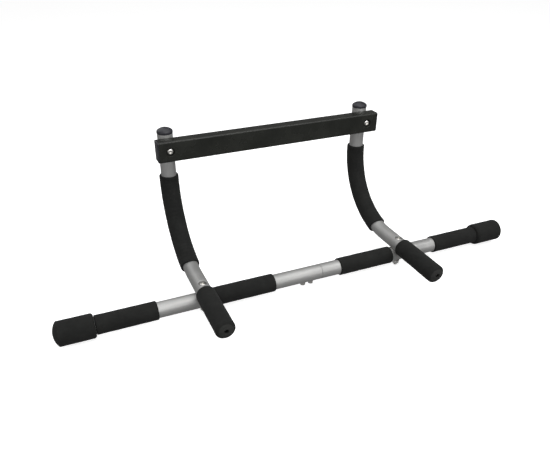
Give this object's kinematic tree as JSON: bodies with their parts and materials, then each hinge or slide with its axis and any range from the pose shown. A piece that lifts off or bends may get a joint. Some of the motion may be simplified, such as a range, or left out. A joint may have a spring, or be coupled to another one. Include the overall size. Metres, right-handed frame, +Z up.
{
  "type": "doorway pull-up bar",
  "caption": "Doorway pull-up bar: foam-padded steel bar with bent hook arms and forward handles, and a flat black cross bar that rests on a door head trim.",
  "frame": {"origin": "the middle of the cross bar's flat underside, which rests on the top of a door's head trim", "axes": "+X along the main bar to the right as the user faces the doorway, +Y away from the user through the wall, +Z up. The main bar lies towards -Y and below the origin."},
  "size_m": [0.962, 0.3554, 0.2951],
  "materials": {
    "silver_paint": "satin",
    "foam": "matte",
    "black_paint": "satin",
    "black_plastic": "satin",
    "zinc_steel": "satin"
  },
  "bodies": {
    "root": {"main_tube_left": "silver_paint", "main_tube_right": "silver_paint", "main_tube_plug_left": "black_plastic", "main_tube_plug_right": "black_plastic", "end_pad_left": "foam", "end_pad_right": "foam", "outer_grip_left": "foam", "outer_grip_right": "foam", "inner_grip_left": "foam", "inner_grip_right": "foam", "joint_bolt_left": "zinc_steel", "joint_bolt_right": "zinc_steel", "joint_washer_left": "zinc_steel", "joint_washer_right": "zinc_steel", "joint_nut_left": "zinc_steel", "joint_nut_right": "zinc_steel", "arm_tube_left": "silver_paint", "arm_tube_right": "silver_paint", "arm_sleeve_left": "foam", "arm_sleeve_right": "foam", "handle_grip_left": "foam", "handle_grip_right": "foam", "handle_plug_left": "black_plastic", "handle_plug_right": "black_plastic", "top_cap_left": "black_plastic", "top_cap_right": "black_plastic", "arm_bolt_left": "zinc_steel", "arm_bolt_right": "zinc_steel", "arm_washer_left": "zinc_steel", "arm_washer_right": "zinc_steel", "arm_nut_left": "zinc_steel", "arm_nut_right": "zinc_steel", "cross_bar": "black_paint", "cross_bar_end_cap_left": "black_plastic", "cross_bar_end_cap_right": "black_plastic", "cross_bar_bolt_left": "zinc_steel", "cross_bar_bolt_right": "zinc_steel", "cross_bar_washer_left": "zinc_steel", "cross_bar_washer_right": "zinc_steel", "cross_bar_nut_left": "zinc_steel", "cross_bar_nut_right": "zinc_steel"}
  },
  "joints": []
}
